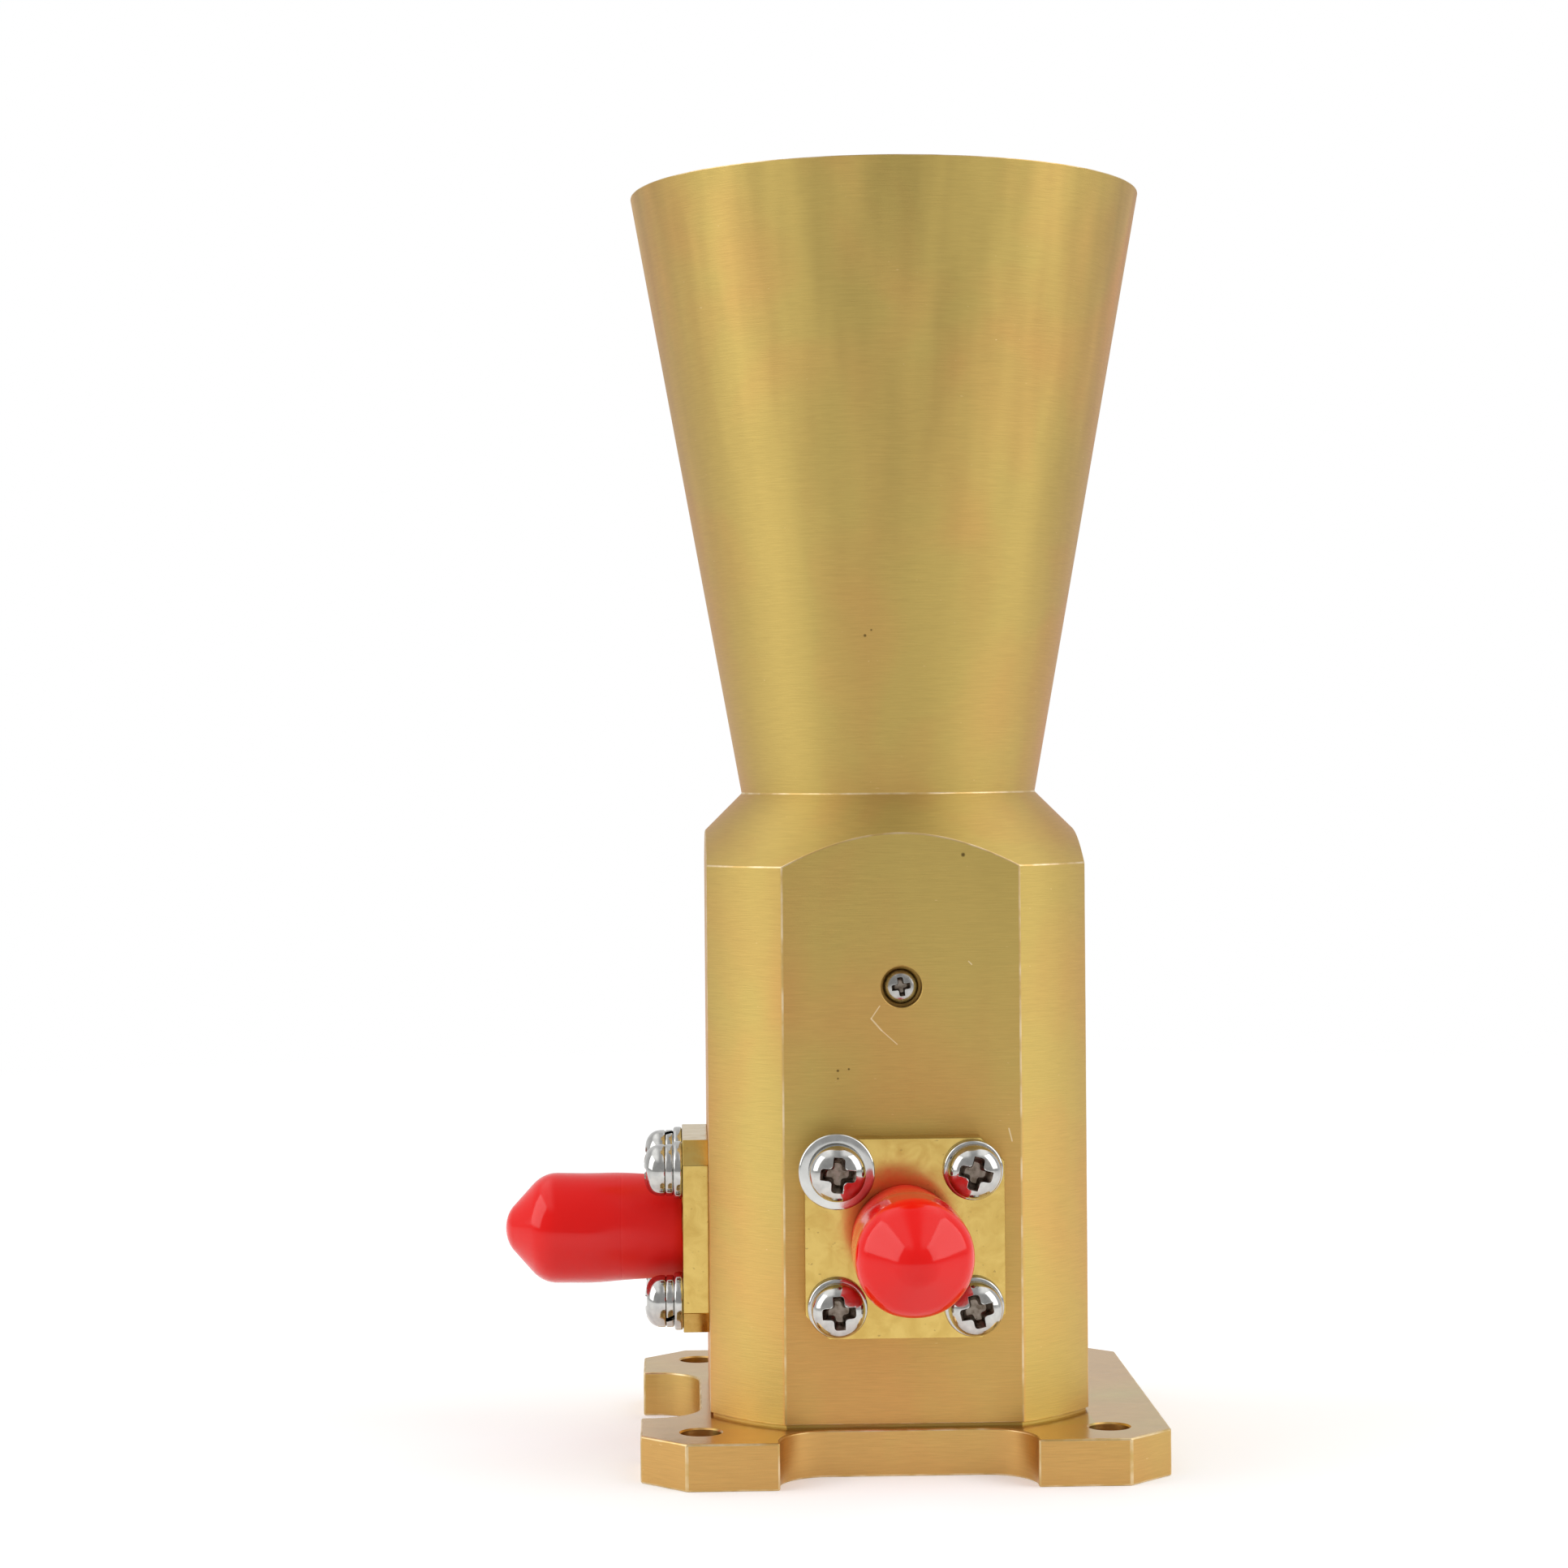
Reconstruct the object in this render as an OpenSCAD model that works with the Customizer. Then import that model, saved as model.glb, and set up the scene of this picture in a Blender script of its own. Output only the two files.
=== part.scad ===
// Dual-polarised conical horn antenna on a notched base plate.
// Two flange-mounted coaxial connectors feed one round waveguide at right angles,
// a small screw in the front flat trims it, and push-on caps keep the dust out.
// Axes: +Z points out of the horn's mouth, the front connector looks along -Y and
// the left connector along -X. The origin is on the horn's axis at the underside.

/* [Base plate] */
// Distance from the mouth's edge in to the plate's side, seen from above
plate_setback = 0.15; // [0:0.1:1]
// Thickness of the base plate
plate_t = 3; // [2.5:0.1:5]
// Leg of the 45 degree cuts on the plate's four corners
plate_chamfer = 2.9; // [0.5:0.1:3.6]
// Width of the two notches, in the front and left edges
notch_w = 16.2; // [12:0.1:17]
// Distance from the horn's axis to the floor of each notch
notch_floor = 13; // [12.7:0.1:15]
// Radius in the inner corners of the notches
notch_r = 3.2; // [0.6:0.1:3.5]
// Distance from the plate's side to the centre of a mounting hole
mount_inset = 3.85; // [3.6:0.05:4.2]
// Diameter of the mounting holes
mount_hole_d = 2.6; // [2:0.1:2.8]
// Spacing of the four screws that hold the plate to the horn, both ways
base_screw_pitch = 16; // [15.4:0.1:16.4]

/* [Horn body] */
// Diameter of the round part of the body
body_d = 29; // [28.6:0.1:30]
// Distance across opposite flats of the body
flats_w = 24.7; // [24.4:0.1:25.3]
// Height of the body from the plate up to the sloping shoulder
body_h = 35.8; // [32:0.1:60]
// Height of the sloping shoulder
shoulder_h = 4.6; // [3:0.1:7]
// Diameter of the neck, where the flare leaves the shoulder
neck_d = 19.7; // [18.6:0.1:22]
// Length of the flare, from the neck to the mouth
flare_h = 39.9; // [25:0.1:60]
// Outside diameter of the mouth
mouth_d = 34; // [33:0.1:38]
// Wall thickness at the mouth
mouth_wall = 1.3; // [0.8:0.1:2.5]
// Diameter of the round waveguide inside the body
guide_d = 16; // [15.4:0.1:16.4]
// Height and depth of the shadow line where the body meets the plate
foot_step = 0.2; // [0.1:0.05:0.4]

/* [Connectors] */
// Height of the front connector's axis above the underside
front_h = 15.3; // [13:0.1:19]
// Height of the left connector's axis above the underside
left_h = 14.3; // [13:0.1:19]
// Side of the square connector flange
flange_w = 12.7; // [12.2:0.1:14]
// Thickness of the connector flange
flange_t = 1.7; // [1.4:0.05:2.2]
// Leg of the 45 degree cuts on the flange's corners
flange_chamfer = 1.5; // [0.5:0.1:1.8]
// Spacing of the flange's four screw holes, both ways
flange_pitch = 8.64; // [8.5:0.02:8.8]
// Diameter of the flange's screw holes
flange_hole_d = 2.3; // [2.2:0.05:2.6]
// Length of the connector from the flange's back to its open end
connector_h = 9.5; // [9:0.1:10.2]
// Outside diameter of the threaded barrel
barrel_d = 6.25; // [6:0.05:6.35]
// Diameter of the relief groove between barrel and flange
relief_d = 5.4; // [5.1:0.1:5.7]
// Width of the relief groove
relief_w = 1.1; // [0.6:0.1:1.6]
// Diameter of the barrel's open socket
socket_d = 4.6; // [4.4:0.05:4.8]
// Depth of the barrel's open socket
socket_h = 1.95; // [1.5:0.05:2.4]
// Diameter of the white insulator
insulator_d = 4.1; // [3.8:0.05:4.2]
// Diameter of the centre contact
contact_d = 1.27; // [1.2:0.01:1.4]
// Diameter of the centre contact's pin hole
contact_bore_d = 0.95; // [0.9:0.01:1]
// Depth of the centre contact's pin hole
contact_bore_h = 2.6; // [2:0.1:3]
// Width of the slots that part the contact's four fingers
contact_slot_w = 0.18; // [0.12:0.02:0.24]
// Length of the contact that stands inside the waveguide as a probe
probe_h = 4; // [2.5:0.1:5]

/* [Fasteners] */
// Nominal diameter of the flange and base screws
screw_d = 2; // [1.8:0.1:2]
// Length of a flange screw's shank, below its head
screw_h = 6; // [5.5:0.1:6.4]
// Diameter of a flange screw's head
head_d = 3.4; // [3.2:0.1:3.6]
// Height of a flange screw's head
head_h = 1.4; // [1.2:0.05:1.6]
// Width of the cross recess in a flange screw's head
recess_w = 2.4; // [2:0.1:2.5]
// Depth of the cross recess in a flange screw's head
recess_h = 0.95; // [0.7:0.05:1.1]
// Outside diameter of the spring washers
spring_d = 3.4; // [3.2:0.1:3.8]
// Thickness of the spring washers
spring_t = 0.55; // [0.4:0.05:0.7]
// Gap where a spring washer is split
spring_gap = 0.35; // [0.2:0.05:0.5]
// Outside diameter of the flat washers
washer_d = 3.8; // [3.6:0.1:4.2]
// Outside diameter of the one wide washer, at the front flange's upper left
wide_washer_d = 4.85; // [4.6:0.05:5.1]
// Thickness of the flat washers and the wide washer
washer_t = 0.6; // [0.4:0.05:0.7]
// Head diameter of the countersunk base screws
base_head_d = 3.6; // [3.2:0.1:3.8]
// Length of the base screws over all
base_screw_h = 7; // [6.5:0.1:7.5]

/* [Tuning screw] */
// Height of the tuning screw's axis above the underside
tuner_h = 31.1; // [24:0.1:32]
// Nominal diameter of the tuning screw
tuner_d = 1.6; // [1.4:0.1:1.7]
// Diameter of the tuning screw's head
tuner_head_d = 2.3; // [2.1:0.05:2.4]
// Height of the tuning screw's head
tuner_head_h = 0.9; // [0.7:0.05:1.2]
// Diameter of the counterbore round the tuning screw's head
tuner_bore_d = 2.65; // [2.5:0.05:2.9]
// Distance of the head below the face of the flat
tuner_sink = 0.2; // [0.1:0.05:0.4]
// Length of the tuning screw that stands inside the waveguide
tuner_reach = 1; // [0.4:0.1:2]

/* [Dust caps] */
// Length of a dust cap
cap_h = 11.9; // [11.2:0.1:13]
// Diameter of a dust cap at its open end
cap_open_d = 6.8; // [6.7:0.05:7]
// Largest diameter of a dust cap
cap_d = 7.4; // [7.2:0.05:7.8]
// Distance from the open end to the start of the largest diameter
cap_swell_h = 6.6; // [5:0.1:7.2]
// Distance from the open end to the start of the rounded shoulder
cap_shoulder_h = 8.4; // [8:0.1:8.8]
// Radius of the rounded shoulder
cap_shoulder_r = 2.2; // [1.6:0.05:2.4]
// Radius of the nose
cap_nose_r = 2.25; // [1.8:0.05:2.5]
// Wall thickness of the nose
cap_wall = 0.6; // [0.4:0.05:0.9]

/* [Fits] */
// Radial play of a screw in its tapped hole
thread_play = 0.02; // [0.01:0.01:0.05]
// Radial play of the insulator and the contact in their bores
seat_play = 0.02; // [0.01:0.01:0.05]
// Radial play of a dust cap on its barrel
cap_play = 0.03; // [0.01:0.01:0.06]
// Radial play of a washer on its screw
washer_play = 0.1; // [0.05:0.05:0.15]

/* [Hidden] */
$fn = 96;
// Overlap of solids that are fused, and overrun of cutters
lap = 0.5;
plate_w = mouth_d - 2 * plate_setback;
mount_pitch = plate_w - 2 * mount_inset;
flat_y = flats_w / 2;
body_top = plate_t + body_h;
neck_z = body_top + shoulder_h;
mouth_z = neck_z + flare_h;
guide_r = guide_d / 2;
mouth_r = mouth_d / 2 - mouth_wall;
flange_y = flat_y + flange_t;
stack_t = washer_t + spring_t;
head_y = flange_y + stack_t;
reference_y = flat_y + connector_h - socket_h;
tapped_h = screw_h - flange_t - stack_t + 1;
base_head_h = (base_head_d - screw_d) / 2;
base_tapped_h = base_screw_h - plate_t + 1;
// Corner of a four-screw flange or plate: left or right, up or down
corners = [[-1, 1], [1, 1], [-1, -1], [1, -1]];
// Turn of each screw's cross recess, in the order of the corners
front_turns = [-5, -14, 3, 13];
left_turns = [20, -8, 35, 12];
base_turns = [12, -25, 40, 4];
wide_corner = corners[0];
gold = [0.80, 0.68, 0.36];
bright_gold = [0.86, 0.72, 0.40];
nickel = [0.78, 0.78, 0.79];
white = [0.93, 0.93, 0.91];
red = [0.86, 0.10, 0.06];

// Which sub-part to build

// Turns a shape drawn along +Z so that it points out of the front flat
module on_front(height) {
    translate([0, 0, height]) rotate([90, 0, 0]) children();
}

// Turns a shape drawn along +Z so that it points out of the left flat
module on_left(height) {
    translate([0, 0, height]) rotate([90, 0, -90]) children();
}

// Tapered cross recess with its mouth at z = 0
module cross_recess(width, depth) {
    wing = width * 0.34;
    intersection() {
        translate([0, 0, -depth])
            cylinder(h = depth + lap, d1 = width * 0.36, d2 = width + 0.64 * width * lap / depth);
        union() {
            cube([width * 2, wing, depth * 3], center = true);
            cube([wing, width * 2, depth * 3], center = true);
        }
    }
    translate([0, 0, -depth])
        cylinder(h = depth + lap, d1 = width * 0.2, d2 = width * 0.62);
}

// Pan head with a rounded shoulder and a slight crown, standing on z = 0
module pan_head(d, h) {
    shoulder_r = h * 0.42;
    crown = h * 0.1;
    centre = [d / 2 - shoulder_r, h - crown - shoulder_r];
    rotate_extrude()
        polygon(concat(
            [[0, 0], [d / 2 - 0.1, 0], [d / 2, 0.1]],
            [for (i = [0 : 6]) centre + shoulder_r * [cos(13 * i), sin(13 * i)]],
            [[d / 5, h - crown * 0.25], [0, h]]));
}

// ---- Horn ----------------------------------------------------------------

// Round body and shoulder, before the flats are cut
module body_blank() {
    rotate_extrude()
        polygon([[0, plate_t + foot_step], [body_d / 2, plate_t + foot_step],
                 [body_d / 2, body_top], [neck_d / 2, neck_z], [0, neck_z]]);
}

// The flare's outside, with a stub that sinks into the shoulder
module flare_blank() {
    rotate_extrude()
        polygon([[0, neck_z - lap], [neck_d / 2, neck_z - lap], [neck_d / 2, neck_z],
                 [mouth_d / 2, mouth_z], [0, mouth_z]]);
}

// Waveguide and the inside of the flare
module guide_bore() {
    translate([0, 0, plate_t - lap]) cylinder(h = body_h + shoulder_h + lap, r = guide_r);
    translate([0, 0, neck_z]) cylinder(h = flare_h, r1 = guide_r, r2 = mouth_r);
    translate([0, 0, mouth_z]) cylinder(h = lap, r = mouth_r);
}

// Holes that one connector needs in the wall, drawn along +Z
module connector_holes() {
    translate([0, 0, guide_r - 2 * lap])
        cylinder(h = flat_y - guide_r + 3 * lap, r = insulator_d / 2 + seat_play);
    for (c = corners)
        translate([c[0] * flange_pitch / 2, c[1] * flange_pitch / 2, flat_y - tapped_h])
            cylinder(h = tapped_h + lap, r = screw_d / 2 + thread_play);
}

// Counterbore and tapped hole for the tuning screw, drawn along +Z
module tuner_holes() {
    translate([0, 0, guide_r - 2 * lap])
        cylinder(h = flat_y - guide_r + 3 * lap, r = tuner_d / 2 + thread_play);
    translate([0, 0, flat_y - tuner_sink - tuner_head_h])
        cylinder(h = tuner_sink + tuner_head_h + lap, d = tuner_bore_d);
}

// Turned and milled in one piece: flats, shoulder, neck and flare
module horn_body() {
    color(gold)
    difference() {
        union() {
            intersection() {
                body_blank();
                translate([-flat_y, -flat_y, 0]) cube([flats_w, flats_w, neck_z + lap]);
            }
            intersection() {
                translate([0, 0, plate_t])
                    cylinder(h = foot_step + lap, r = body_d / 2 - foot_step);
                translate([-flat_y + foot_step, -flat_y + foot_step, 0])
                    cube([flats_w - 2 * foot_step, flats_w - 2 * foot_step, body_h]);
            }
            flare_blank();
        }
        guide_bore();
        on_front(front_h) connector_holes();
        on_left(left_h) connector_holes();
        on_front(tuner_h) tuner_holes();
        for (c = corners)
            translate([c[0] * base_screw_pitch / 2, c[1] * base_screw_pitch / 2, plate_t - lap])
                cylinder(h = base_tapped_h + lap, r = screw_d / 2 + thread_play);
    }
}

// ---- Base plate ----------------------------------------------------------

// Cutter for the notch in the front edge, with rounded inner corners
module notch() {
    straight = notch_w / 2 - notch_r;
    run = plate_w / 2 - notch_floor + lap;
    translate([-notch_w / 2, -plate_w / 2 - lap, -lap])
        cube([notch_w, run - notch_r, plate_t + 2 * lap]);
    translate([-straight, -plate_w / 2 - lap, -lap])
        cube([2 * straight, run, plate_t + 2 * lap]);
    for (x = [-straight, straight])
        translate([x, -notch_floor - notch_r, -lap]) cylinder(h = plate_t + 2 * lap, r = notch_r);
}

module base_plate() {
    half = plate_w / 2;
    cut = half - plate_chamfer;
    color(gold)
    difference() {
        linear_extrude(height = plate_t)
            polygon([[cut, half], [-cut, half], [-half, cut], [-half, -cut],
                     [-cut, -half], [cut, -half], [half, -cut], [half, cut]]);
        notch();
        rotate([0, 0, -90]) notch();
        for (c = corners) {
            translate([c[0] * mount_pitch / 2, c[1] * mount_pitch / 2, -lap])
                cylinder(h = plate_t + 2 * lap, d = mount_hole_d);
            translate([c[0] * base_screw_pitch / 2, c[1] * base_screw_pitch / 2, 0]) {
                translate([0, 0, -lap])
                    cylinder(h = plate_t + 2 * lap, r = screw_d / 2 + washer_play);
                translate([0, 0, -lap])
                    cylinder(h = lap, r = base_head_d / 2 + washer_play);
                cylinder(h = base_head_h, r1 = base_head_d / 2 + washer_play,
                         r2 = screw_d / 2 + washer_play);
            }
        }
    }
}

// Countersunk screws that come up through the plate
module base_screws() {
    color(nickel)
    for (i = [0 : 3])
        translate([corners[i][0] * base_screw_pitch / 2, corners[i][1] * base_screw_pitch / 2, 0])
            difference() {
                rotate_extrude()
                    polygon([[0, 0.1], [base_head_d / 2, 0.1], [screw_d / 2, base_head_h + 0.1],
                             [screw_d / 2, base_screw_h - 0.3],
                             [screw_d / 2 - 0.3, base_screw_h], [0, base_screw_h]]);
                translate([0, 0, 0.1]) rotate([180, 0, base_turns[i]])
                    cross_recess(recess_w * 0.8, recess_h * 0.75);
            }
}

// ---- Tuning screw --------------------------------------------------------

module tuning_screw() {
    color(nickel)
    on_front(tuner_h)
        translate([0, 0, flat_y - tuner_sink - tuner_head_h])
            difference() {
                union() {
                    pan_head(tuner_head_d, tuner_head_h);
                    translate([0, 0, guide_r - tuner_reach - flat_y + tuner_sink + tuner_head_h])
                        cylinder(h = flat_y - guide_r + tuner_reach - tuner_sink - tuner_head_h
                                     + tuner_head_h / 2, d = tuner_d);
                }
                translate([0, 0, tuner_head_h]) rotate([0, 0, 8])
                    cross_recess(tuner_head_d * 0.62, tuner_head_h * 0.62);
            }
}

// ---- Connectors, drawn along +Z with z = 0 on the horn's axis --------------

// Square flange and threaded barrel, turned and milled from one bar
module connector_shell() {
    half = flange_w / 2;
    cut = half - flange_chamfer;
    difference() {
        union() {
            translate([0, 0, flat_y])
                linear_extrude(height = flange_t)
                    polygon([[cut, half], [-cut, half], [-half, cut], [-half, -cut],
                             [-cut, -half], [cut, -half], [half, -cut], [half, cut]]);
            translate([0, 0, flat_y])
                rotate_extrude()
                    polygon([[0, lap], [relief_d / 2, lap], [relief_d / 2, flange_t + relief_w],
                             [barrel_d / 2, flange_t + relief_w + 0.3],
                             [barrel_d / 2, connector_h - 0.3],
                             [barrel_d / 2 - 0.3, connector_h], [0, connector_h]]);
        }
        translate([0, 0, flat_y - lap])
            cylinder(h = connector_h + 2 * lap, r = insulator_d / 2 + seat_play);
        translate([0, 0, reference_y]) cylinder(h = socket_h + lap, d = socket_d);
        for (c = corners)
            translate([c[0] * flange_pitch / 2, c[1] * flange_pitch / 2, flat_y - lap])
                cylinder(h = flange_t + 2 * lap, d = flange_hole_d);
    }
}

// Insulator that runs from the waveguide's wall to the socket's floor
module insulator() {
    translate([0, 0, guide_r])
        difference() {
            cylinder(h = reference_y - guide_r, d = insulator_d);
            translate([0, 0, -lap])
                cylinder(h = reference_y - guide_r + 2 * lap, r = contact_d / 2 + seat_play);
        }
}

// Centre contact: four spring fingers outside, a probe in the waveguide inside
module contact() {
    reach = reference_y - guide_r + probe_h;
    translate([0, 0, guide_r - probe_h])
        difference() {
            rotate_extrude()
                polygon([[0, 0], [contact_d / 2 - 0.15, 0], [contact_d / 2, 0.15],
                         [contact_d / 2, reach], [0, reach]]);
            translate([0, 0, reach - contact_bore_h])
                cylinder(h = contact_bore_h + lap, d = contact_bore_d);
            for (turn = [0, 90])
                rotate([0, 0, turn])
                    translate([-contact_d, -contact_slot_w / 2, reach - contact_bore_h + 0.4])
                        cube([2 * contact_d, contact_slot_w, contact_bore_h + lap]);
        }
}

// One flange screw, seated with its head's underside at z = 0
module flange_screw(turn) {
    difference() {
        union() {
            pan_head(head_d, head_h);
            translate([0, 0, -screw_h + 0.3]) cylinder(h = screw_h, d = screw_d);
            translate([0, 0, -screw_h]) cylinder(h = 0.3, d1 = screw_d - 0.6, d2 = screw_d);
        }
        translate([0, 0, head_h]) rotate([0, 0, turn]) cross_recess(recess_w, recess_h);
    }
}

// Four flange screws
module flange_screws(turns) {
    for (i = [0 : 3])
        translate([corners[i][0] * flange_pitch / 2, corners[i][1] * flange_pitch / 2, head_y])
            flange_screw(turns[i]);
}

// Ring washer standing on z = 0
module ring(d, t) {
    difference() {
        cylinder(h = t, d = d);
        translate([0, 0, -lap]) cylinder(h = t + 2 * lap, r = screw_d / 2 + washer_play);
    }
}

// Four split spring washers under the screw heads
module spring_washers() {
    for (i = [0 : 3])
        translate([corners[i][0] * flange_pitch / 2, corners[i][1] * flange_pitch / 2,
                   flange_y + washer_t])
            difference() {
                ring(spring_d, spring_t);
                rotate([0, 0, 70 + 85 * i])
                    translate([spring_d / 2, 0, spring_t / 2]) rotate([25, 0, 0])
                        cube([spring_d, spring_gap, 4 * spring_t], center = true);
            }
}

// Plain washers at the corners named
module flat_washers(places, d) {
    for (c = places)
        translate([c[0] * flange_pitch / 2, c[1] * flange_pitch / 2, flange_y]) ring(d, washer_t);
}

// Moulded push-on cap, seated on the flange, with a domed nose
module dust_cap() {
    bore_r = barrel_d / 2 + cap_play;
    bore_h = connector_h - flange_t + 0.2;
    shoulder = [cap_shoulder_h, cap_d / 2 - cap_shoulder_r];
    nose = [cap_h - cap_nose_r, 0];
    span = nose - shoulder;
    // Direction of the normal of the flank, which touches both rounded parts
    lean = atan2(span[1], span[0]) + acos((cap_shoulder_r - cap_nose_r) / norm(span));
    outer = concat(
        [[0, cap_open_d / 2], [cap_swell_h, cap_d / 2]],
        [for (i = [0 : 8]) let (a = 90 + (lean - 90) * i / 8)
            shoulder + cap_shoulder_r * [cos(a), sin(a)]],
        [for (i = [0 : 9]) let (a = lean * (1 - i / 9)) nose + cap_nose_r * [cos(a), sin(a)]]);
    inner = concat(
        [for (i = [9 : -1 : 0]) let (a = lean * (1 - i / 9))
            nose + (cap_nose_r - cap_wall) * [cos(a), sin(a)]],
        [[bore_h, bore_r], [0, bore_r]]);
    translate([0, 0, flange_y])
        rotate_extrude()
            polygon([for (p = concat(outer, inner)) [p[1], p[0]]]);
}

module front_connector_shell() {
    color(bright_gold) on_front(front_h) connector_shell();
}

module front_insulator() {
    color(white) on_front(front_h) insulator();
}

module front_contact() {
    color(bright_gold) on_front(front_h) contact();
}

module left_connector_shell() {
    color(bright_gold) on_left(left_h) connector_shell();
}

module left_insulator() {
    color(white) on_left(left_h) insulator();
}

module left_contact() {
    color(bright_gold) on_left(left_h) contact();
}

module front_flange_screws() {
    color(nickel) on_front(front_h) flange_screws(front_turns);
}

module front_spring_washers() {
    color(nickel) on_front(front_h) spring_washers();
}

module front_flat_washers() {
    color(nickel) on_front(front_h)
        flat_washers([for (c = corners) if (c != wide_corner) c], washer_d);
}

module front_wide_washer() {
    color(nickel) on_front(front_h) flat_washers([wide_corner], wide_washer_d);
}

module left_flange_screws() {
    color(nickel) on_left(left_h) flange_screws(left_turns);
}

module left_spring_washers() {
    color(nickel) on_left(left_h) spring_washers();
}

module left_flat_washers() {
    color(nickel) on_left(left_h) flat_washers(corners, washer_d);
}

module front_dust_cap() {
    color(red) on_front(front_h) dust_cap();
}

module left_dust_cap() {
    color(red) on_left(left_h) dust_cap();
}

horn_body();
base_plate();
base_screws();
tuning_screw();
front_connector_shell();
front_insulator();
front_contact();
left_connector_shell();
left_insulator();
left_contact();
front_flange_screws();
front_spring_washers();
front_flat_washers();
front_wide_washer();
left_flange_screws();
left_spring_washers();
left_flat_washers();
front_dust_cap();
left_dust_cap();
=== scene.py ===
# %% [markdown]
# # A gold horn antenna
#
# This lesson dresses a measured model of a small microwave horn. The measured solids are loaded
# first. Each visible piece is then modelled again with smooth faces and fine edges, and given its
# finish. Everything is in metres, with +Z out of the horn's mouth and the front towards -Y.

# %% Load the measured model
import bpy
import bmesh
from math import acos, atan2, cos, pi, radians, sin
from mathutils import Matrix, Vector


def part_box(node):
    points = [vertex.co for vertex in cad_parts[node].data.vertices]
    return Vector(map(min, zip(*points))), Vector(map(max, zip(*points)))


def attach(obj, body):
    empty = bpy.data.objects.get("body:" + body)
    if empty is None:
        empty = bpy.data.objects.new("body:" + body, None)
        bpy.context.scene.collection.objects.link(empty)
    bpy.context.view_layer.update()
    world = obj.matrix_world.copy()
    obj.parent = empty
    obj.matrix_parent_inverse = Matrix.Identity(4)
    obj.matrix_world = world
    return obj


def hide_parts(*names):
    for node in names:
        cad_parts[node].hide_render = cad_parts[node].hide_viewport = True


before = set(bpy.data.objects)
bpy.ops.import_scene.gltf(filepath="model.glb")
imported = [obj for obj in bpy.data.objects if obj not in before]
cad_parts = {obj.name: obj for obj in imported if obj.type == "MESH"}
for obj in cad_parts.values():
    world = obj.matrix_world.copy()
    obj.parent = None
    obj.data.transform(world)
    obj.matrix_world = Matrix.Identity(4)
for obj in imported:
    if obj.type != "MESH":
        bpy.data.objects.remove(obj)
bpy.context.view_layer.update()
MM = 0.001

# %% [markdown]
# The camera comes first, because it decides which details matter. The horn is seen from close by
# with a lens of moderate length, almost level with its neck and a little to its left. A camera
# matrix could be typed in whole, but three small turns say more: yaw to the right, pitch down,
# and a slight roll.

# %% Camera
scene = bpy.context.scene
scene.view_settings.view_transform = "Standard"
camera_data = bpy.data.cameras.new("camera")
camera_data.sensor_width = 36.0
camera_data.lens = 77.75
camera_data.clip_start = 0.01
camera = bpy.data.objects.new("camera", camera_data)
scene.collection.objects.link(camera)
CAMERA_PLACE = Vector((-14.26, -227.74, 45.87)) * MM
yaw, pitch, roll = 0.0319, -0.0082, -0.0080
camera.matrix_world = (Matrix.Translation(CAMERA_PLACE) @ Matrix.Rotation(-yaw, 4, "Z")
                       @ Matrix.Rotation(pi / 2 + pitch, 4, "X") @ Matrix.Rotation(roll, 4, "Z"))
scene.camera = camera
print("camera at", [round(v / MM, 1) for v in CAMERA_PLACE])

# %% [markdown]
# Sizes come from the measured solids' boxes wherever a box gives them: the flats, for one, lie
# where the connectors' shells end. The rest, such as the radii of the body and the neck, are the
# turner's own dimensions, named here once. The two connectors are drawn upright and then turned
# onto the front and the left flat by one matrix each.

# %% Sizes
plate_low, plate_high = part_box("base_plate")
horn_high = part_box("horn_body")[1]
shell_low, shell_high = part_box("front_connector_shell")
left_low, left_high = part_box("left_connector_shell")
cap_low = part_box("front_dust_cap")[0]
tuner_low, tuner_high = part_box("tuning_screw")
seat_low, seat_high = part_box("front_insulator")
pin_low, pin_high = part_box("front_contact")
plate_top, plate_half = plate_high.z, plate_high.x
mouth_z, mouth_r = horn_high.z, horn_high.x
flat_y = -shell_high.y
front_z = (shell_low.z + shell_high.z) / 2
left_z = (left_low.z + left_high.z) / 2
tuner_z = (tuner_low.z + tuner_high.z) / 2
body_r, neck_r, guide_r = 14.5 * MM, 9.85 * MM, 8.0 * MM
foot = 0.2 * MM
body_top = plate_top + 35.8 * MM
neck_z = body_top + 4.6 * MM
wall = 1.3 * MM
flange_half, flange_t = shell_high.x, 1.7 * MM
flange_y = flat_y + flange_t
barrel_end = -shell_low.y
screw_pitch, base_pitch, mount_pitch = 8.64 * MM, 16 * MM, 26 * MM
screw_r, insulator_r = 1.0 * MM, 2.05 * MM
play = 0.02 * MM
ON_FRONT = Matrix.Translation((0, 0, front_z)) @ Matrix.Rotation(pi / 2, 4, "X")
ON_LEFT = (Matrix.Translation((0, 0, left_z)) @ Matrix.Rotation(-pi / 2, 4, "Z")
           @ Matrix.Rotation(pi / 2, 4, "X"))
AT_TUNER = Matrix.Translation((0, 0, tuner_z)) @ Matrix.Rotation(pi / 2, 4, "X")
SIDES = [Vector(side) for side in ((0, -1, 0), (-1, 0, 0), (0, 1, 0), (1, 0, 0))]
CORNERS = [(-1, 1), (1, 1), (-1, -1), (1, -1)]
print("connector heights in mm:", round(front_z / MM, 2), round(left_z / MM, 2))

# %% [markdown]
# Most pieces of the horn came off a lathe, so they are made as on a lathe: an outline of points
# is spun round the Z axis. A cylinder could be stretched instead, but an outline holds all steps
# of a piece in one list. Bevels with a set width then break the sharp edges, as a file or a
# deburring tool does.

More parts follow.
